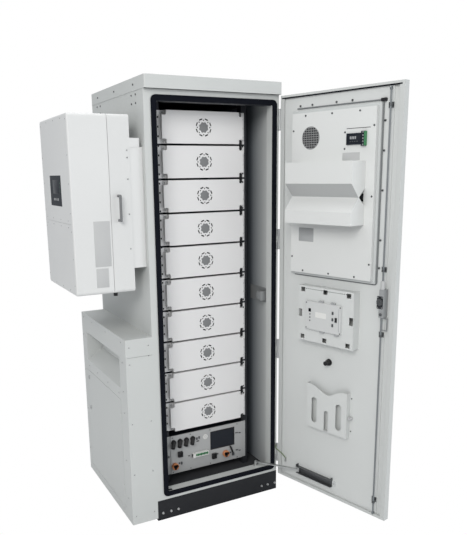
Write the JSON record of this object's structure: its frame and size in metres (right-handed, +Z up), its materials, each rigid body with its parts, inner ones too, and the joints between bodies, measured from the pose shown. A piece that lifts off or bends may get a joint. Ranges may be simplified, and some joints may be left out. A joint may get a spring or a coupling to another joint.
{
  "type": "outdoor battery cabinet",
  "caption": "Tall outdoor battery cabinet with its door open on stacked rack modules, an air conditioner inside the door, a wall inverter and a cable box on its left side.",
  "frame": {"origin": "centre of the plinth's underside, in the middle of the four anchor holes", "axes": "+X to the cabinet's right seen from the front, +Y from the front to the rear, +Z up"},
  "size_m": [1.3506, 1.4506, 2.173],
  "materials": {
    "cabinet_paint": "semi-matt light grey powder coat",
    "plinth_paint": "satin black",
    "door_paint": "semi-matt light grey powder coat",
    "inner_paint": "light grey powder coat",
    "gasket_rubber": "matt black foam rubber",
    "module_paint": "fine white powder coat",
    "rack_steel": "galvanised",
    "panel_paint": "mid grey powder coat",
    "screen_plastic": "dark glossy pane",
    "black_plastic": "black moulded",
    "port_plastic": "mixed: black shells, a green terminal strip, orange sockets",
    "bright_steel": "zinc plated",
    "dark_steel": "darkened zinc plate",
    "inverter_paint": "light grey powder coat",
    "inverter_metal": "cast, finely textured",
    "cable_sheath": "grey PVC",
    "hub_plastic": "light grey moulded"
  },
  "bodies": {
    "cabinet": {"plinth": "plinth_paint", "floor_and_top": "plinth_paint", "side_panels": "cabinet_paint", "rear_panel": "cabinet_paint", "front_frame": "cabinet_paint", "roof_cover": "cabinet_paint", "door_gasket": "gasket_rubber", "rack_frame": "rack_steel", "module_runners": "rack_steel", "control_box_case": "panel_paint", "control_panel": "panel_paint", "control_screen": "screen_plastic", "battery_plugs": "black_plastic", "control_ports": "port_plastic", "hinges_frame": "bright_steel", "wall_bracket": "inner_paint", "stay_bracket": "bright_steel", "cable_box": "cabinet_paint", "inverter_chassis": "inverter_metal", "inverter_cover": "inverter_paint", "inverter_display": "screen_plastic", "inverter_bracket": "inverter_paint", "inverter_glands": "black_plastic", "module_01": "module_paint", "module_02": "module_paint", "module_03": "module_paint", "module_04": "module_paint", "module_05": "module_paint", "module_06": "module_paint", "module_07": "module_paint", "module_08": "module_paint", "module_09": "module_paint", "module_10": "module_paint"},
    "door": {"door_pan": "door_paint", "door_liner": "door_paint", "hinges_door": "bright_steel", "ac_casing": "door_paint", "ac_grille": "door_paint", "ac_fan_motor": "black_plastic", "ac_hood": "door_paint", "ac_outer_unit": "door_paint", "ac_controller": "screen_plastic", "door_cable": "cable_sheath", "hub_box": "door_paint", "hub": "hub_plastic", "cable_gland": "black_plastic", "document_pocket": "door_paint", "stay_channel": "dark_steel", "rod_guides": "dark_steel", "lock_case": "dark_steel"},
    "fan_rotor": {"ac_fan": "black_plastic"},
    "rocker": {"hub_rocker": "black_plastic"},
    "handle": {"lock_handle": "black_plastic"},
    "rod_up": {"lock_rod_upper": "dark_steel"},
    "rod_down": {"lock_rod_lower": "dark_steel"},
    "stay": {"stay_arm": "bright_steel"},
    "button": {"start_button": "bright_steel"},
    "cover": {"side_cover": "cabinet_paint"},
    "latch_low": {"side_latch_lower": "bright_steel"},
    "latch_high": {"side_latch_upper": "bright_steel"}
  },
  "joints": [
    {"name": "door_hinge", "type": "hinge", "parent": "cabinet", "child": "door", "pos_m": [0.36, -0.3915, 1.1], "axis": [0, 0, 1], "range_deg": [-104.6, 0]},
    {"name": "stay_pivot", "type": "hinge", "parent": "cabinet", "child": "stay", "pos_m": [0.246, -0.3475, 0.1735], "axis": [0, 0, 1], "range_deg": [-118.08, 0.1]},
    {"name": "lock_turn", "type": "hinge", "parent": "door", "child": "handle", "pos_m": [0.52183, -1.01277, 1.161], "axis": [0.9677, 0.2521, 0], "range_deg": [0, 90]},
    {"name": "rod_up_slide", "type": "slide", "parent": "door", "child": "rod_up", "axis": [0, 0, 1], "range_m": [-0.0321, 0.0001]},
    {"name": "rod_down_slide", "type": "slide", "parent": "door", "child": "rod_down", "axis": [0, 0, 1], "range_m": [-0.0001, 0.0321]},
    {"name": "fan_spin", "type": "hinge", "parent": "door", "child": "fan_rotor", "pos_m": [0.40477, -0.60305, 1.899], "axis": [0.9677, 0.2521, 0], "continuous": true},
    {"name": "rocker_tip", "type": "hinge", "parent": "door", "child": "rocker", "pos_m": [0.41431, -0.80827, 1.053], "axis": [0.2521, -0.9677, 0], "range_deg": [0, 10]},
    {"name": "start_press", "type": "slide", "parent": "cabinet", "child": "button", "axis": [0, 1, 0], "range_m": [0, 0.003], "stiffness_N_per_m": 400},
    {"name": "side_cover_hinge", "type": "hinge", "parent": "cabinet", "child": "cover", "pos_m": [-0.495, -0.2795, 0.356], "axis": [0, 0, 1], "range_deg": [0, 100]},
    {"name": "latch_low_turn", "type": "hinge", "parent": "cover", "child": "latch_low", "pos_m": [-0.494, 0.2715, 0.428], "axis": [1, 0, 0], "range_deg": [0, 90]},
    {"name": "latch_high_turn", "type": "hinge", "parent": "cover", "child": "latch_high", "pos_m": [-0.494, 0.2715, 0.61], "axis": [1, 0, 0], "range_deg": [0, 90]}
  ],
  "couplings": [
    {"joint": "stay_pivot", "follows": "door_hinge", "ratio": 1.1279},
    {"joint": "rod_up_slide", "follows": "lock_turn", "m_per_rad": -0.020372},
    {"joint": "rod_down_slide", "follows": "lock_turn", "m_per_rad": 0.020372}
  ]
}
